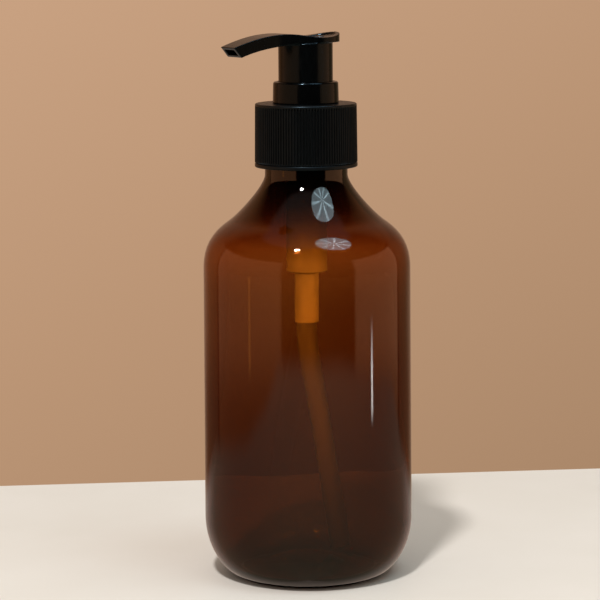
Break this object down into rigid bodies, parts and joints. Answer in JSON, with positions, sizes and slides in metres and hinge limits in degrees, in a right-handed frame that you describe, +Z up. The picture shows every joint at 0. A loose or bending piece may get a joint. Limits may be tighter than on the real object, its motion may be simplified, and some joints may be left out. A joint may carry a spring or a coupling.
{
  "type": "soap pump dispenser",
  "caption": "Amber round-shouldered bottle with a ribbed screw closure and a black left-right lock lotion pump: spring-return plunger, piston, ball valve and dip tube.",
  "frame": {"origin": "on the bottle's axis, at the plane that the bottle stands on", "axes": "+Z up along the bottle's axis, with the spout pointing along -Y"},
  "size_m": [0.066, 0.066, 0.1717],
  "materials": {
    "amber_pet": "clear amber PET, gloss",
    "black_closure": "ribbed black PP, satin",
    "black_collar": "black PP, gloss",
    "black_head": "black PP, gloss",
    "natural_pp": "natural translucent PP",
    "natural_stem": "natural PP",
    "clear_pe": "natural translucent PE tube",
    "soft_pe": "soft white LDPE",
    "foam_pe": "PE foam gasket",
    "spring_steel": "drawn stainless wire",
    "ball_steel": "polished stainless ball"
  },
  "bodies": {
    "bottle": {"bottle": "amber_pet"},
    "pump_body": {"housing": "natural_pp", "lock_collar": "black_collar", "gasket": "foam_pe", "stem_seal": "soft_pe", "valve_cage": "natural_pp", "dip_tube": "clear_pe"},
    "closure": {"closure": "black_closure"},
    "return_spring": {"spring": "spring_steel"},
    "plunger": {"actuator_head": "black_head", "stem": "natural_stem", "piston_seat": "natural_stem"},
    "piston": {"piston": "soft_pe"},
    "ball": {"ball": "ball_steel"}
  },
  "joints": [
    {"name": "pump_lift", "type": "slide", "parent": "bottle", "child": "pump_body", "axis": [0, 0, 1], "range_m": [0, 0.00635]},
    {"name": "closure_turn", "type": "hinge", "parent": "pump_body", "child": "closure", "pos_m": [0, 0, 0.14], "axis": [0, 0, 1], "range_deg": [0, 540]},
    {"name": "stroke", "type": "slide", "parent": "pump_body", "child": "return_spring", "axis": [0, 0, -1], "range_m": [0, 0.011], "stiffness_N_per_m": 700, "springref_m": -0.01, "deforming": ["spring"]},
    {"name": "head_turn", "type": "hinge", "parent": "return_spring", "child": "plunger", "pos_m": [0, 0, 0.15], "axis": [0, 0, 1], "range_deg": [-90, 0]},
    {"name": "piston_float", "type": "slide", "parent": "return_spring", "child": "piston", "axis": [0, 0, 1], "range_m": [0, 0.001]},
    {"name": "ball_lift", "type": "slide", "parent": "pump_body", "child": "ball", "axis": [0, 0, 1], "range_m": [0, 0.0012]}
  ],
  "couplings": [
    {"joint": "pump_lift", "follows": "closure_turn", "m_per_rad": 0.0006737}
  ]
}
